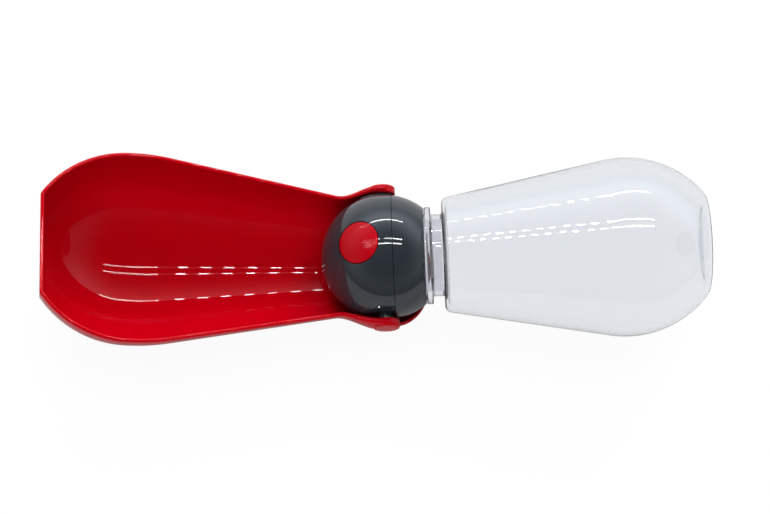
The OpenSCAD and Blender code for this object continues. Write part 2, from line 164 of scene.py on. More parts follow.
def add_strip(name, angle, material):
    """A lamp strip along X, angle degrees round from the front, over the top, to the back, that shows in
    gloss."""
    a = math.radians(angle)
    way = np.array([0, -math.cos(a), math.sin(a)])
    across = np.array([0, math.sin(a), math.cos(a)])
    first, last = STRIP_ENDS
    x = np.array([first, last, last, first])[:, None]
    corners = (BALL_CENTRE + way * STRIP_DISTANCE + x * [1, 0, 0]
               + np.array([-0.5, -0.5, 0.5, 0.5])[:, None] * STRIP_W * across)
    mesh = bpy.data.meshes.new(name)
    mesh.from_pydata(corners.tolist(), [], [(0, 1, 2, 3)])
    mesh.materials.append(material)
    strip = bpy.data.objects.new(name, mesh)
    bpy.context.scene.collection.objects.link(strip)
    strip.visible_camera = False
    strip.visible_diffuse = False
    strip.visible_transmission = False
    strip.visible_shadow = False


# Each stop is (share of the way from facing away to facing the direction, grey)
ROOM_STOPS = [(0.0, 0.25), (0.45, 0.65), (0.8, 1.7), (1.0, 2.2)]   # towards the back
CEILING_STOPS = [(0.5, 0.4), (0.68, 1.0), (0.95, 0.07)]            # towards the ceiling
ROOM_TINT = (0.9, 0.98, 1.06)


def make_world():
    """White to the camera and through glass; to gloss and as light a pale room, brighter towards the back,
    with a dark ceiling above the table."""
    world = bpy.data.worlds.new("room")
    bpy.context.scene.world = world
    world.use_nodes = True
    tree = world.node_tree
    tree.nodes.clear()
    coord = add_node(tree, "ShaderNodeTexCoord").outputs["Generated"]

    def along(direction, stops):
        """A grey that depends on how far the view direction leans towards direction."""
        lean = add_node(tree, "ShaderNodeVectorMath", {0: coord, 1: direction}, operation="DOT_PRODUCT")
        share = add_node(tree, "ShaderNodeMath", {0: lean.outputs["Value"], 1: 0.5, 2: 0.5},
                         operation="MULTIPLY_ADD")
        ramp = add_node(tree, "ShaderNodeValToRGB", {"Fac": share.outputs[0]})
        ramp.color_ramp.interpolation = "EASE"
        set_ramp(ramp, [(place, (grey, grey, grey)) for place, grey in stops])
        return ramp.outputs["Color"]

    room = along((0, 1, 0), ROOM_STOPS)
    ceiling = along((0, -0.1, 0.995), CEILING_STOPS)
    shade = add_node(tree, "ShaderNodeVectorMath", {0: room, 1: ceiling}, operation="MULTIPLY")
    cool = add_node(tree, "ShaderNodeVectorMath", {0: shade.outputs[0], 1: ROOM_TINT}, operation="MULTIPLY")
    back = add_node(tree, "ShaderNodeBackground", {"Color": cool.outputs[0], "Strength": 1.0})
    white = add_node(tree, "ShaderNodeBackground", {"Color": (1, 1, 1, 1), "Strength": 1.0})
    path = add_node(tree, "ShaderNodeLightPath")
    seen = add_node(tree, "ShaderNodeMath",
                    {0: path.outputs["Is Camera Ray"], 1: path.outputs["Is Transmission Ray"]},
                    operation="MAXIMUM")
    mixed = add_node(tree, "ShaderNodeMixShader",
                     {0: seen.outputs[0], 1: back.outputs[0], 2: white.outputs[0]})
    add_node(tree, "ShaderNodeOutputWorld", {"Surface": mixed.outputs[0]})


# ---------------------------------------------------------------- materials

def linear(hex_colour):
    """An sRGB hex colour, such as "#b4000f", as a linear RGBA tuple."""
    channels = [int(hex_colour[i:i + 2], 16) / 255 for i in (1, 3, 5)]
    turned = [c / 12.92 if c <= 0.04045 else ((c + 0.055) / 1.055) ** 2.4 for c in channels]
    return (*turned, 1.0)


def add_node(tree, kind, inputs=None, **settings):
    """Add a node, set its properties and fill or link its inputs: a socket links, anything else is a
    value."""
    node = tree.nodes.new(kind)
    for name, value in settings.items():
        setattr(node, name, value)
    for name, value in (inputs or {}).items():
        if isinstance(value, bpy.types.NodeSocket):
            tree.links.new(value, node.inputs[name])
        else:
            node.inputs[name].default_value = value
    return node


def set_ramp(node, stops):
    """Set a colour ramp's stops, given as (position, linear RGB)."""
    ramp = node.color_ramp
    while len(ramp.elements) > 2:
        ramp.elements.remove(ramp.elements[-1])
    for i, (place, colour) in enumerate(stops):
        stop = ramp.elements[i] if i < 2 else ramp.elements.new(place)
        stop.position = place
        stop.color = (*colour, 1.0)


FLOW_MM = 50 / 3                  # spacing of the slow variation in a moulded colour
FLOW_LOW, FLOW_HIGH = 0.3, 0.7    # the range that the noise mostly keeps to
FLOW_ROUGHNESS = 0.15             # how much the roughness varies with it
WAVE_MM, WAVE_DEPTH_MM = 200 / 9, 0.02      # waves of a blown wall
TOOL_MARK_MM = 10 / 9             # far coarser than real turning marks, which would not show
TOOL_MARK_ROUGHNESS = 0.3


def moulded_plastic(name, colour, roughness, grain_mm, grain_depth_mm, gloss=0.5, fleck=0.03, subsurface=0.0):
    """A moulded plastic: faint flow variation in the colour and roughness, and a fine ripple in its gloss."""
    material = bpy.data.materials.new(name)
    material.use_nodes = True
    tree = material.node_tree
    tree.nodes.clear()
    out = add_node(tree, "ShaderNodeOutputMaterial")
    coord = add_node(tree, "ShaderNodeTexCoord").outputs["Object"]
    flow = add_node(tree, "ShaderNodeTexNoise", {
        "Vector": coord, "Scale": 1 / (FLOW_MM * MM), "Detail": 3.0})
    base = linear(colour)
    light = tuple(min(1.0, c * (1 + fleck)) for c in base[:3])
    dark = tuple(c * (1 - fleck) for c in base[:3])
    tint = add_node(tree, "ShaderNodeValToRGB", {"Fac": flow.outputs["Fac"]})
    set_ramp(tint, [(FLOW_LOW, dark), (FLOW_HIGH, light)])
    rough = add_node(tree, "ShaderNodeMapRange", {
        "Value": flow.outputs["Fac"], "From Min": FLOW_LOW, "From Max": FLOW_HIGH,
        "To Min": roughness * (1 - FLOW_ROUGHNESS), "To Max": roughness * (1 + FLOW_ROUGHNESS)})
    grain = add_node(tree, "ShaderNodeTexNoise", {
        "Vector": coord, "Scale": 1 / (grain_mm * MM), "Detail": 2.0})
    bump = add_node(tree, "ShaderNodeBump", {
        "Height": grain.outputs["Fac"], "Distance": grain_depth_mm * MM, "Strength": 1.0})
    shader = add_node(tree, "ShaderNodeBsdfPrincipled", {
        "Base Color": tint.outputs["Color"], "Roughness": rough.outputs["Result"],
        "Normal": bump.outputs["Normal"], "Specular IOR Level": gloss, "Subsurface Weight": subsurface})
    tree.links.new(shader.outputs["BSDF"], out.inputs["Surface"])
    return material


def clear_plastic(name):
    """Clear copolyester, blow moulded: water-clear with a faint cool cast, greyer in the thick neck, and
    slightly wavy walls."""
    material = bpy.data.materials.new(name)
    material.use_nodes = True
    tree = material.node_tree
    tree.nodes.clear()
    out = add_node(tree, "ShaderNodeOutputMaterial")
    coord = add_node(tree, "ShaderNodeTexCoord").outputs["Object"]
    wave = add_node(tree, "ShaderNodeTexNoise", {
        "Vector": coord, "Scale": 1 / (WAVE_MM * MM), "Detail": 1.0})
    bump = add_node(tree, "ShaderNodeBump", {
        "Height": wave.outputs["Fac"], "Distance": WAVE_DEPTH_MM * MM, "Strength": 1.0})
    place = add_node(tree, "ShaderNodeVectorMath", {0: coord, 1: tuple(BOTTLE_AXIS)}, operation="DOT_PRODUCT")
    near = float(np.dot(BALL_CENTRE, BOTTLE_AXIS))
    along = add_node(tree, "ShaderNodeMapRange", {
        "Value": place.outputs["Value"], "From Min": near + NECK_SHADE_END * MM,
        "From Max": near + BODY_SHADE_START * MM})
    tint = add_node(tree, "ShaderNodeValToRGB", {"Fac": along.outputs["Result"]})
    set_ramp(tint, [(0.0, linear("#dfe0e6")[:3]), (1.0, linear("#f2f4f7")[:3])])
    shader = add_node(tree, "ShaderNodeBsdfPrincipled", {
        "Base Color": tint.outputs["Color"], "Roughness": 0.0, "IOR": 1.5, "Transmission Weight": 1.0,
        "Normal": bump.outputs["Normal"]})
    tree.links.new(shader.outputs["BSDF"], out.inputs["Surface"])
    return material


def bare_metal(name, colour, roughness):
    """Turned stainless steel: bright, with faint tool marks as a noise in its roughness."""
    material = bpy.data.materials.new(name)
    material.use_nodes = True
    tree = material.node_tree
    tree.nodes.clear()
    out = add_node(tree, "ShaderNodeOutputMaterial")
    coord = add_node(tree, "ShaderNodeTexCoord").outputs["Object"]
    marks = add_node(tree, "ShaderNodeTexNoise", {
        "Vector": coord, "Scale": 1 / (TOOL_MARK_MM * MM), "Detail": 2.0})
    rough = add_node(tree, "ShaderNodeMapRange", {
        "Value": marks.outputs["Fac"], "To Min": roughness * (1 - TOOL_MARK_ROUGHNESS),
        "To Max": roughness * (1 + TOOL_MARK_ROUGHNESS)})
    shader = add_node(tree, "ShaderNodeBsdfPrincipled", {
        "Base Color": linear(colour), "Metallic": 1.0, "Roughness": rough.outputs["Result"]})
    tree.links.new(shader.outputs["BSDF"], out.inputs["Surface"])
    return material


FLOOR_GREY = 0.9
FLOOR_GLOSS_DROP = 0.4            # how much darker gloss sees the floor
FLOOR_WHITE = 0.93                # the share of plain white in what the camera sees; the rest has the shadow


def floor_material():
    """White seamless sweep: nearly white to the camera and through glass, with a faint shadow kept; mid
    grey in gloss."""
    material = bpy.data.materials.new("white_sweep")
    material.use_nodes = True
    tree = material.node_tree
    tree.nodes.clear()
    out = add_node(tree, "ShaderNodeOutputMaterial")
    path = add_node(tree, "ShaderNodeLightPath")
    grey = add_node(tree, "ShaderNodeMath",
                    {0: path.outputs["Is Glossy Ray"], 1: -FLOOR_GLOSS_DROP, 2: FLOOR_GREY},
                    operation="MULTIPLY_ADD")
    paper = add_node(tree, "ShaderNodeBsdfDiffuse", {"Color": grey.outputs[0]})
    white = add_node(tree, "ShaderNodeEmission", {"Color": (1, 1, 1, 1), "Strength": 1.0})
    seen = add_node(tree, "ShaderNodeMath",
                    {0: path.outputs["Is Camera Ray"], 1: path.outputs["Is Transmission Ray"]},
                    operation="MAXIMUM")
    share = add_node(tree, "ShaderNodeMath", {0: seen.outputs[0], 1: FLOOR_WHITE}, operation="MULTIPLY")
    mixed = add_node(tree, "ShaderNodeMixShader", {"Fac": share.outputs[0]})
    tree.links.new(paper.outputs[0], mixed.inputs[1])
    tree.links.new(white.outputs[0], mixed.inputs[2])
    tree.links.new(mixed.outputs[0], out.inputs["Surface"])
    return material


# ---------------------------------------------------------------- mesh making

def turn(points, angle, axis):
    """Rotate an array of points about X, Y or Z by angle radians."""
    c, s = math.cos(angle), math.sin(angle)
    x, y, z = points[..., 0], points[..., 1], points[..., 2]
    if axis == "Y":
        return np.stack([x * c + z * s, y, z * c - x * s], -1)
    if axis == "Z":
        return np.stack([x * c - y * s, x * s + y * c, z], -1)
    return np.stack([x, y * c - z * s, y * s + z * c], -1)


def place_bottle(points):
    """From the bottle's frame in millimetres to the row frame in metres."""
    return turn(points, -BOTTLE_TILT, "Y") * MM + BALL_CENTRE


def place_trough(points):
    """From the trough's frame in millimetres to the row frame in metres."""
    return turn(turn(points, math.pi, "Z"), TROUGH_TILT, "Y") * MM + BALL_CENTRE


def build(name, points, faces, material, sharp_degrees=None):
    """A mesh object from points in metres and faces, with its doubles merged and its normals outward."""
    mesh = bpy.data.meshes.new(name)
    mesh.from_pydata(points.tolist(), [], faces.tolist())
    tidy = bmesh.new()
    tidy.from_mesh(mesh)
    bmesh.ops.remove_doubles(tidy, verts=tidy.verts, dist=1e-7)
    bmesh.ops.dissolve_degenerate(tidy, edges=tidy.edges, dist=1e-7)
    bmesh.ops.recalc_face_normals(tidy, faces=tidy.faces)
    tidy.to_mesh(mesh)
    tidy.free()
    mesh.polygons.foreach_set("use_smooth", np.ones(len(mesh.polygons), bool))
    if sharp_degrees:
        mesh.set_sharp_from_angle(angle=math.radians(sharp_degrees))
    mesh.materials.append(material)
    piece = bpy.data.objects.new(name, mesh)
    bpy.context.scene.collection.objects.link(piece)
    return piece


def grid_faces(rows, columns, close_columns, start=0):
    """Quads of a rows x columns grid of points, as an index array; columns may close on themselves."""
    i = np.arange(rows - 1)[:, None]
    j = np.arange(columns if close_columns else columns - 1)[None, :]
    k = (j + 1) % columns
    corners = np.stack([i * columns + j, i * columns + k, (i + 1) * columns + k, (i + 1) * columns + j], -1)
    return corners.reshape(-1, 4) + start


def revolve(profile, segments):
    """Points (rows, segments, 3) of an outline of (along X, radius) turned about X."""
    angle = np.linspace(0, 2 * math.pi, segments, endpoint=False)
    x = np.repeat(profile[:, :1], segments, 1)
    r = profile[:, 1:]
    return np.stack([x, r * np.cos(angle), r * np.sin(angle)], -1)


def arc(x, r, radius, start, end, steps):
    """Points on a circle of the outline, between two angles in degrees."""
    a = np.radians(np.linspace(start, end, steps + 1))
    return np.stack([x + radius * np.cos(a), r + radius * np.sin(a)], -1)


def subdivide(points, longest):
    """Insert points on the straight stretches of an outline so that none is longer than longest."""
    pieces = []
    for a, b in zip(points[:-1], points[1:]):
        count = max(1, int(np.ceil(np.hypot(*(b - a)) / longest)))
        pieces.append(a + (b - a) * np.linspace(0, 1, count, endpoint=False)[:, None])
    return np.concatenate(pieces + [points[-1:]])


# ---------------------------------------------------------------- the bottle

BOTTLE_L, BELLY_R, BELLY_X, BELLY_CURVE, BASE_ROUND = 144.4, 40.0, 108.0, 46.0, 5.0
SHOULDER_X, SHOULDER_R, SHOULDER_ROUND = 26.5, 26.0, 3.2
NECK_R, NECK_WALL, NECK_START = 18.4, 2.0, 9.0
FLANGE_R, FLANGE_START, FLANGE_END = 21.8, 18.6, 21.5
PUSH_UP = 2.2
THREAD_PITCH, THREAD_H = 3.0, 1.0
THREAD_FROM, THREAD_TO = 9.7, 14.3
THREAD_HALF, THREAD_RUN_OUT = 0.28, 0.6   # the ridge's half width in pitches, and the length it fades over
BASE_RING = 2.5                           # width of the flat ring that the base stands on


def bottle_outline(inset):
    """The body outline from the shoulder to the base: a rounding, a straight flank that touches it and the
    belly's arc, and the base's rounding, all set in by inset."""
    rise = SHOULDER_R - SHOULDER_ROUND - BELLY_R + BELLY_CURVE
    run = BELLY_X - SHOULDER_X - SHOULDER_ROUND
    lean = math.asin((BELLY_CURVE - SHOULDER_ROUND) / math.hypot(rise, run)) - math.atan2(rise, run)
    flank = math.degrees(lean)
    corner_x = BOTTLE_L - BASE_ROUND
    corner_r = BELLY_R - BELLY_CURVE + math.sqrt((BELLY_CURVE - BASE_ROUND) ** 2 - (corner_x - BELLY_X) ** 2)
    meet = math.degrees(math.acos((corner_x - BELLY_X) / (BELLY_CURVE - BASE_ROUND)))
    return np.concatenate([
        arc(SHOULDER_X + SHOULDER_ROUND, SHOULDER_R - SHOULDER_ROUND, SHOULDER_ROUND - inset,
            180, 90 + flank, 10),
        arc(BELLY_X, BELLY_R - BELLY_CURVE, BELLY_CURVE - inset, 90 + flank, meet, 40),
        arc(corner_x, corner_r, BASE_ROUND - inset, meet, 0, 10)])


def base_outline(inset, edge_r):
    """The base from its rounding to its centre: a flat foot ring and a shallow raised middle."""
    r = np.linspace(edge_r, 0, 24)[1:]
    lift = PUSH_UP * (1 - np.clip(r / (edge_r - BASE_RING), 0, 1) ** 2) ** 1.5
    return np.stack([BOTTLE_L - inset - lift, r], -1)


def make_bottle(material):
    """One closed outline turned about X: outer base, belly, shoulder, neck with a screw thread, then the
    inside. The thread adds to the neck's radius a smooth ridge whose place along X moves one pitch a
    turn."""
    outer = bottle_outline(0)
    inner = bottle_outline(BOTTLE_WALL)
    bore = NECK_R - NECK_WALL
    # A rounded corner is three points: the first value sets its two ends and the second its middle
    fillet, fillet_mid = 0.5, 0.15
    edge, edge_mid = 0.4, 0.1
    soft, soft_mid = 0.6, 0.18
    bevel = 0.3
    neck = np.array([
        [SHOULDER_X, NECK_R + fillet], [SHOULDER_X - fillet_mid, NECK_R + fillet_mid],
        [SHOULDER_X - fillet, NECK_R],
        [FLANGE_END + edge, NECK_R], [FLANGE_END + edge_mid, NECK_R + edge_mid], [FLANGE_END, NECK_R + edge],
        [FLANGE_END, FLANGE_R - soft], [FLANGE_END - soft_mid, FLANGE_R - soft_mid],
        [FLANGE_END - soft, FLANGE_R],
        [FLANGE_START + soft, FLANGE_R], [FLANGE_START + soft_mid, FLANGE_R - soft_mid],
        [FLANGE_START, FLANGE_R - soft],
        [FLANGE_START, NECK_R], [NECK_START + edge, NECK_R], [NECK_START + edge_mid, NECK_R - edge_mid],
        [NECK_START, NECK_R - edge], [NECK_START, bore + bevel], [NECK_START + bevel, bore],
        [SHOULDER_X, bore], [SHOULDER_X + BOTTLE_WALL * 0.6, bore + 0.15],
        [SHOULDER_X + BOTTLE_WALL, bore + 0.9], [SHOULDER_X + BOTTLE_WALL, inner[0, 1]]])
    neck = subdivide(neck, 0.25)
    outline = np.concatenate([
        base_outline(0, outer[-1, 1])[::-1], outer[::-1], neck, inner[1:],
        base_outline(BOTTLE_WALL, inner[-1, 1])])
    points = revolve(outline, 160)
    x, y, z = points[..., 0], points[..., 1], points[..., 2]
    r = np.hypot(y, z)
    turn_share = np.arctan2(z, y) / (2 * math.pi)
    phase = ((x - THREAD_FROM) / THREAD_PITCH - turn_share) % 1.0
    ridge = np.clip(1 - np.abs(phase - 0.5) / THREAD_HALF, 0, 1)
    fade = np.clip((x - THREAD_FROM) / THREAD_RUN_OUT, 0, 1) * np.clip((THREAD_TO - x) / THREAD_RUN_OUT, 0, 1)
    on_neck = (np.abs(r - NECK_R) < 0.01) & (x < FLANGE_START)
    swell = np.where(on_neck, THREAD_H * np.sqrt(ridge) * fade, 0)
    grow = 1 + swell / np.maximum(r, 1)
    points = np.stack([x, y * grow, z * grow], -1)
    rows, columns = points.shape[:2]
    piece = build("bottle_clear", place_bottle(points.reshape(-1, 3)), grid_faces(rows, columns, True),
                  material)
    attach(piece, "bottle_body")
    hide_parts("bottle")


# ---------------------------------------------------------------- the trough

TROUGH_L, TROUGH_R, END_ROUND = 153.2, 43.1, 2.5
TROUGH_BELLY_X, TROUGH_BELLY_L = 112.0, 2.0
NEAR_CURVE, FAR_CURVE, FLANK = 90.0, 47.6, 10.3
TAIL_ANGLE = 147.6
EAR_R, EAR_OUT = 6.0, 33.0
EAR_IN, EAR_ROUND, EAR_LEAD, EAR_DOME = 29.3, 0.9, 0.3, 0.2
THROAT_BLEND, THROAT_END = 5.0, 40.0         # past the end the section is the trough's outline alone
END_DRAFT = math.radians(6)
TAIL_ROWS = 25
RIM_RISE = 10.0                              # degrees that the rim climbs beside the pivots
RIM_FADE = 17.0                              # the length over which the rise and the swell fade
# Beside the ears the radius swells, from a place along X and within an angle of the rim
SWELL, SWELL_START, SWELL_ANGLE = 1.5, 2.0, 30.0
RIM_CROWN = 0.8                              # height of the rounded rim as a share of half the wall


def trough_outline(inset):
    """(distance, radius) from the ball's side to the end wall: a straight flank, two arcs and a small
    rounding."""
    near_x = TROUGH_BELLY_X - NEAR_CURVE * math.sin(math.radians(FLANK))
    near_r = TROUGH_R - NEAR_CURVE * (1 - math.cos(math.radians(FLANK)))
    far_x = TROUGH_BELLY_X + TROUGH_BELLY_L
    corner_x = TROUGH_L - END_ROUND
    corner_r = TROUGH_R - FAR_CURVE + math.sqrt((FAR_CURVE - END_ROUND) ** 2 - (corner_x - far_x) ** 2)
    meet = math.degrees(math.acos((corner_x - far_x) / (FAR_CURVE - END_ROUND)))
    slope = math.radians(FLANK)
    start = np.array([[0.0, near_r - near_x * math.tan(slope) - inset / math.cos(slope)]])
    return np.concatenate([
        start,
        arc(TROUGH_BELLY_X, TROUGH_R - NEAR_CURVE, NEAR_CURVE - inset, 90 + FLANK, 90, 8),
        arc(far_x, TROUGH_R - FAR_CURVE, FAR_CURVE - inset, 90, meet, 30),
        arc(corner_x, corner_r, END_ROUND - inset, meet, 0, 6)])


def trough_radius(distance, inset, ball_r):
    """Radius of the section at each distance: the larger of the cup's ball and the trough's outline, with
    a soft meeting where they cross (a smooth maximum of the two radii)."""
    outline = trough_outline(inset)
    body = np.interp(distance, outline[:, 0], outline[:, 1])
    ball = np.sqrt(np.maximum(ball_r ** 2 - distance ** 2, 0))
    near = np.clip(0.5 + (body - ball) / (2 * THROAT_BLEND), 0, 1)
    soft = ball * (1 - near) + body * near + THROAT_BLEND * near * (1 - near)
    return np.where(distance < THROAT_END, np.maximum(soft, np.maximum(body, ball)), body)


def trough_rows(inset, ball_r):
    """The sheet's rows from the end wall's middle to the ball's centre, each as (x, radius)."""
    wall_rows, corner_rows, belly_rows, flank_rows, cup_rows = 14, 7, 34, 24, 40
    belly_start, flank_start = TROUGH_L - END_ROUND - 0.6, TROUGH_BELLY_X - 2.6
    outline = trough_outline(inset)
    end_r = outline[-1, 1]
    wall = np.stack([np.full(wall_rows, TROUGH_L - inset), np.linspace(0, end_r, wall_rows + 1)[:-1]], -1)
    corner = outline[outline[:, 0] > TROUGH_L - END_ROUND - 0.01][::-1]
    share, known = np.linspace(0, 1, corner_rows), np.linspace(0, 1, len(corner))
    corner_x, corner_r = np.interp(share, known, corner[:, 0]), np.interp(share, known, corner[:, 1])
    run = np.concatenate([np.linspace(belly_start, TROUGH_BELLY_X, belly_rows),
                          np.linspace(flank_start, THROAT_END + 2, flank_rows),
                          np.linspace(THROAT_END - 1, 0, cup_rows)])
    side = np.stack([run, trough_radius(run, inset, ball_r)], -1)
    return np.concatenate([wall, np.stack([corner_x, corner_r], -1), side])


def smooth(t):
    """Cubic step from 0 to 1 over t from 0 to 1."""
    t = np.clip(t, 0, 1)
    return t * t * (3 - 2 * t)


def tail_swing():
    """How far each row of the cup's tail is turned on about Y past the ball's centre, in radians."""
    return np.radians(np.linspace(90, TAIL_ANGLE, TAIL_ROWS + 1))[1:] - math.pi / 2


def trough_sheet(inset, ball_r, around, bulge):
    """Points (rows, around, 3): half turns about X from rim to rim below the rim plane, then the cup's
    tail, whose rows are half circles turned on about Y. Towards the pivots the rim rises by an angle
    that fades along X, and the radius swells by bulge near the rim."""
    rows = trough_rows(inset, ball_r)
    angle = np.linspace(0, math.pi, around)
    x = rows[:, :1]
    rise = math.radians(RIM_RISE) * smooth(1 - x / RIM_FADE)
    body_angle = -rise + (math.pi + 2 * rise) * angle[None] / math.pi
    from_rim = np.degrees(np.minimum(body_angle, math.pi - body_angle))
    proud = bulge * smooth(1 - (x - SWELL_START) / RIM_FADE) * smooth(1 - np.abs(from_rim) / SWELL_ANGLE)
    r = rows[:, 1:] + proud
    body = np.stack([np.repeat(x, around, 1), r * np.cos(body_angle), -r * np.sin(body_angle)], -1)
    swing = tail_swing()[:, None]
    r = ball_r
    tail = np.stack([-r * np.sin(swing) * np.sin(angle), np.cos(angle) * r + 0 * swing,
                     -r * np.cos(swing) * np.sin(angle)], -1)
    return np.concatenate([body, tail])


def make_trough(material):
    """A closed band whose end wall leans out towards its rim: outer sheet, rounded rim, inner sheet,
    rounded rim, row by row from the end wall to the tail. Each rim is half a circle between the two
    sheets that bulges along the row's own upward direction."""
    around, rim_steps = 96, 6
    outer = trough_sheet(0.0, CUP_OUT_R, around, SWELL)
    inner = trough_sheet(TROUGH_WALL, CUP_IN_R, around, 0.0)
    for sheet, inset in ((outer, 0.0), (inner, TROUGH_WALL / math.cos(END_DRAFT))):
        lean = TROUGH_L - inset + np.minimum(sheet[..., 2], 0) * math.tan(END_DRAFT)
        sheet[..., 0] = np.minimum(sheet[..., 0], lean)
    rows = len(outer)
    tail_start = rows - TAIL_ROWS
    up = np.zeros((rows, 1, 3))
    up[:, 0, 2] = 1
    swing = tail_swing()
    up[tail_start:, 0, 0] = np.sin(swing)
    up[tail_start:, 0, 2] = np.cos(swing)

    def rim(a, b):
        """Half circle from point a to point b of every row."""
        t = np.linspace(0, math.pi, rim_steps + 2)[1:-1][None, :, None]
        middle, half = (a + b)[:, None] / 2, (a - b)[:, None] / 2
        size = np.linalg.norm(half, axis=-1, keepdims=True)
        return middle + half * np.cos(t) + up * size * np.sin(t) * RIM_CROWN

    right = rim(outer[:, -1], inner[:, -1])
    left = rim(inner[:, 0], outer[:, 0])
    band = np.concatenate([outer, right, inner[:, ::-1], left], 1)
    columns = band.shape[1]
    middle_last = band[-1:].copy()
    flipped = np.concatenate([inner[-1:], right[-1:, ::-1], outer[-1:, ::-1], left[-1:, ::-1]], 1)
    closing = (middle_last + flipped) / 2
    edge_way = np.array([-math.cos(swing[-1]), 0, math.sin(swing[-1])])
    # The tail's edge is rounded with two more rows: one part of the way in, and one where the two sheets meet
    share_in, part_out, full_out = 0.2, 0.55, 0.75
    quarter = middle_last * (1 - share_in) + closing * share_in + edge_way * part_out
    band = np.concatenate([band, quarter, closing + edge_way * full_out])
    piece = build("trough_shell", place_trough(band.reshape(-1, 3)), grid_faces(len(band), columns, True),
                  material)
    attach(piece, "trough_arm")
    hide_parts("trough")


def make_ears(material):
    """Two slightly domed round ears about the pivot, sunk into the cup's sides: an outline of (out along
    Y, radius) turned about Y."""
    outline = np.concatenate([
        [[EAR_IN, 0.0], [EAR_IN, EAR_R - EAR_LEAD], [EAR_IN + EAR_LEAD, EAR_R]],
        arc(EAR_OUT - EAR_ROUND, EAR_R - EAR_ROUND, EAR_ROUND, 90, 0, 8),
        [[EAR_OUT + EAR_DOME * 0.75, (EAR_R - EAR_ROUND) * 0.5], [EAR_OUT + EAR_DOME, 0.0]]])
    outline = subdivide(outline, 0.8)
    turned = revolve(outline, 72)
    rows, columns = turned.shape[:2]
    one = np.stack([turned[..., 1], turned[..., 0], turned[..., 2]], -1).reshape(-1, 3)
    both = np.concatenate([one, one * [1, -1, 1]])
    faces = np.concatenate([grid_faces(rows, columns, True), grid_faces(rows, columns, True, len(one))])
    piece = build("trough_ears", place_trough(both), faces, material)
    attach(piece, "trough_arm")


FOOT_R, FOOT_TOP, FOOT_X, FOOT_ROUND = 6.0, 1.75, 2.0, 0.25


def make_foot(material):
    """The flat pad under the cup that it lies on: an outline of (height, radius) turned about the upright
    line."""
    outline = np.concatenate([[[0.0, 0.0]], arc(FOOT_ROUND, FOOT_R - FOOT_ROUND, FOOT_ROUND, 180, 90, 6),
                              [[FOOT_TOP, FOOT_R], [FOOT_TOP, 0.0]]])
    turned = revolve(subdivide(outline, 0.5), 96)
    rows, columns = turned.shape[:2]
    points = np.stack([turned[..., 1], turned[..., 2], turned[..., 0]], -1).reshape(-1, 3) * MM
    points[:, 0] += BALL_CENTRE[0] + FOOT_X * MM
    piece = build("trough_foot", points, grid_faces(rows, columns, True), material)
    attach(piece, "trough_arm")


# ---------------------------------------------------------------- the button

BUTTON_R, BUTTON_H, BUTTON_TOP, BUTTON_EDGE, SKIRT, ROOF = 9.35, 4.5, 2.4, 0.5, 1.6, 1.6


def make_button(material):
    """An outline of (height along the button's axis, radius) turned about it: a top that follows the ball,
    a small rounded edge and a hollow skirt."""
    rim = math.asin((BUTTON_R - BUTTON_EDGE) / (BALL_R - BUTTON_EDGE))
    edge_h = (BALL_R - BUTTON_EDGE) * math.cos(rim)
    top = np.linspace(0, rim, 26)[:, None]
    cap = np.concatenate([BALL_R * np.cos(top), BALL_R * np.sin(top)], 1)
    edge = arc(edge_h, BUTTON_R - BUTTON_EDGE, BUTTON_EDGE, math.degrees(rim), 90, 8)[1:]
    underside = BALL_R - BUTTON_TOP - ROOF
    skirt = np.array([[BALL_R - BUTTON_H, BUTTON_R], [BALL_R - BUTTON_H, BUTTON_R - SKIRT],
                      [underside, BUTTON_R - SKIRT], [underside, 0.0]])
    outline = subdivide(np.concatenate([cap, edge, skirt]), 0.8)
    turned = revolve(outline, 120)
    rows, columns = turned.shape[:2]
    piece = build("button_cap", place_button(turned.reshape(-1, 3)), grid_faces(rows, columns, True),
                  material)
    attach(piece, "press_button")
    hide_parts("button")


def place_button(points):
    """From the button's frame in millimetres, with X out along its axis, to the row frame in metres."""
    upright = np.stack([-points[..., 2], points[..., 1], points[..., 0]], -1)
    return turn(upright, -math.atan2(-BUTTON_OUT[0], BUTTON_OUT[2]), "Y") * MM + BALL_CENTRE


# ---------------------------------------------------------------- painted shadow in the gap between the ball's shells

# A strip of painted shadow: its width, depth into the ball, height proud of it, and how far short of the side
# flats it stops
GAP_SHADOW_W, GAP_SHADOW_DEPTH, GAP_SHADOW_PROUD, GAP_SHADOW_SHORT = 0.26, 0.4, 0.02, 0.4


def make_gap_shadow(name, side, material):
    """Painted shadow of the gap between the two shells, over or under the ball: a dark, thin square section
    that stands slightly proud of the ball, run along the circle where the parting plane cuts the ball, from
    one side flat to the other, with both ends closed."""
    r = math.sqrt(BALL_R ** 2 - PARTING_X ** 2)
    reach = math.asin((SIDE_FLAT_Y - GAP_SHADOW_SHORT) / r)
    a = np.linspace(-reach, reach, 121)[:, None]
    x = PARTING_X + GAP_SHADOW_W / 2 * np.array([[-1, 1, 1, -1]])
    out = r + np.array([[GAP_SHADOW_PROUD, GAP_SHADOW_PROUD, -GAP_SHADOW_DEPTH, -GAP_SHADOW_DEPTH]])
    points = np.stack([x + 0 * a, out * np.sin(a), side * out * np.cos(a)], -1)
    rows, columns = points.shape[:2]
    last = (rows - 1) * columns
    ends = [[0, 1, 2, 3], [last, last + 3, last + 2, last + 1]]
    faces = np.concatenate([grid_faces(rows, columns, True), ends])
    piece = build(name, place_bottle(points.reshape(-1, 3)), faces, material, 40)
    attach(piece, "head")


# ---------------------------------------------------------------- the springs

WIRE_R = 0.4
VALVE_COIL_R, VALVE_COIL_FROM, VALVE_COIL_L, VALVE_COIL_TURNS = 3.6, 10.2, 7.0, 4
BUTTON_COIL_R, BUTTON_COIL_FROM, BUTTON_COIL_L, BUTTON_COIL_TURNS = 4.6, 14.55, 9.65, 5


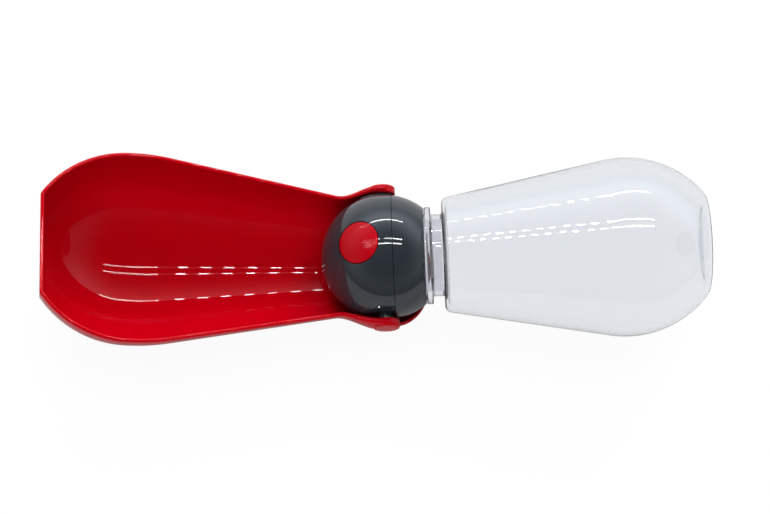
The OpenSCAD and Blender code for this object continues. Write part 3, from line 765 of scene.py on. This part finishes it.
def make_spring(name, radius, start, length, turns, place, body, node, material):
    """Round wire wound about X: rings round a helix whose rise is even from end to end, each end closed to
    a point."""
    around, per_turn = 12, 40
    share = np.linspace(0, 1, turns * per_turn + 1)
    share = np.concatenate([share[:1], share, share[-1:]])[:, None]
    thick = np.full(share.shape, WIRE_R)
    thick[[0, -1]] = 0
    winding = 2 * math.pi * turns * share
    b = np.linspace(0, 2 * math.pi, around, endpoint=False)[None, :]
    out = radius + thick * np.cos(b)
    points = np.stack([start + WIRE_R + (length - 2 * WIRE_R) * share + thick * np.sin(b),
                       out * np.cos(winding), out * np.sin(winding)], -1)
    rows, columns = points.shape[:2]
    piece = build(name, place(points.reshape(-1, 3)), grid_faces(rows, columns, True), material)
    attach(piece, body)
    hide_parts(node)
    ends = place(np.array([[start, 0.0, 0.0], [start + length, 0.0, 0.0]]))
    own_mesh(piece)


# ---------------------------------------------------------------- stage

def make_floor():
    """A wide white sweep at the height that the object lies on."""
    size = 3.0
    mesh = bpy.data.meshes.new("floor")
    corners = [(-size, -size, 0), (size, -size, 0), (size, size, 0), (-size, size, 0)]
    mesh.from_pydata(corners, [], [(0, 1, 2, 3)])
    mesh.materials.append(floor_material())
    floor = bpy.data.objects.new("floor", mesh)
    bpy.context.scene.collection.objects.link(floor)


def dress(names, material):
    """Give CAD nodes a material."""
    for name in names:
        slots = frame["nodes"][name].data.materials
        slots.clear()
        slots.append(material)


make_camera()
make_world()
make_floor()
bpy.context.scene.view_settings.view_transform = "Standard"
add_area("soft_front", BALL_CENTRE + np.array([-0.3, -1.2, 1.0]), (1.6, 0.9), 12)
add_area("soft_back", BALL_CENTRE + np.array([0.2, 1.3, 0.9]), (1.8, 0.7), 22)
add_area("soft_top", BALL_CENTRE + np.array([0.0, 0.2, 1.6]), (1.8, 0.8), 16)
strip_glow = strip_material(-0.0005)
back_glow = strip_material(-0.0065)
add_strip("strip_top", 98.5, strip_glow)
add_strip("strip_next", 107.5, strip_glow)
add_strip("strip_back", 145, back_glow)

# ABS, injection moulded in a polished tool: deep gloss
red_abs = moulded_plastic("red_gloss_abs", "#aa000e", 0.015, 2.0, 0.00002, gloss=0.16)
# The same ABS in the button, from a satin tool that gives it a paler sheen
button_abs = moulded_plastic("button_red_abs", "#9d0310", 0.16, 0.5, 0.0003, gloss=0.12)
# Charcoal ABS, polished tool
grey_abs = moulded_plastic("charcoal_gloss_abs", "#262a2f", 0.022, 2.0, 0.00002)
# Painted shadow for the gap between the shells: the charcoal ABS made nearly black and without gloss, as the
# groove's shade
gap_shadow_paint = moulded_plastic("painted_gap_shadow", "#08090a", 0.7, 2.0, 0.0, gloss=0.02)
# White acetal, machined look: waxy
acetal = moulded_plastic("white_acetal", "#e8e7e2", 0.4, 0.4, 0.01, subsurface=0.05)
# Silicone and nitrile rubber, compression moulded: matt
silicone = moulded_plastic("red_silicone", "#b8242c", 0.55, 0.3, 0.01)
nitrile = moulded_plastic("black_nitrile", "#17181a", 0.6, 0.3, 0.01)
# Black glass-filled nylon, injection moulded: a dull gloss
nylon = moulded_plastic("black_nylon", "#1d1f22", 0.3, 0.4, 0.006)
# Stainless steel, turned pins and drawn wire: bright, slightly blurred reflections
steel = bare_metal("stainless_steel", "#c9ccd0", 0.25)
# Copolyester, blow moulded: water-clear and glossy
clear = clear_plastic("clear_copolyester")

make_bottle(clear)
make_trough(red_abs)
make_ears(red_abs)
make_foot(red_abs)
make_button(button_abs)
dress(["head_front_shell", "head_rear_shell"], grey_abs)
dress(["valve_body", "spring_seat", "button_plunger"], acetal)
dress(["valve_plug"], silicone)
dress(["neck_gasket", "button_o_ring"], nitrile)
# Dark strips of painted shadow laid over the parting line between the ball's shells
make_gap_shadow("shell_gap_shadow_top", 1, gap_shadow_paint)
make_gap_shadow("shell_gap_shadow_bottom", -1, gap_shadow_paint)
make_spring("valve_coil", VALVE_COIL_R, VALVE_COIL_FROM, VALVE_COIL_L, VALVE_COIL_TURNS, place_bottle,
            "head", "valve_spring", steel)
make_spring("button_coil", BUTTON_COIL_R, BUTTON_COIL_FROM, BUTTON_COIL_L, BUTTON_COIL_TURNS, place_button,
            "head", "button_spring", steel)
dress(["valve_stem", "plug_retainer", "plunger_clip", "pivot_pin_near", "pivot_pin_far"], steel)
dress(["pivot_bush_near", "pivot_bush_far"], nylon)
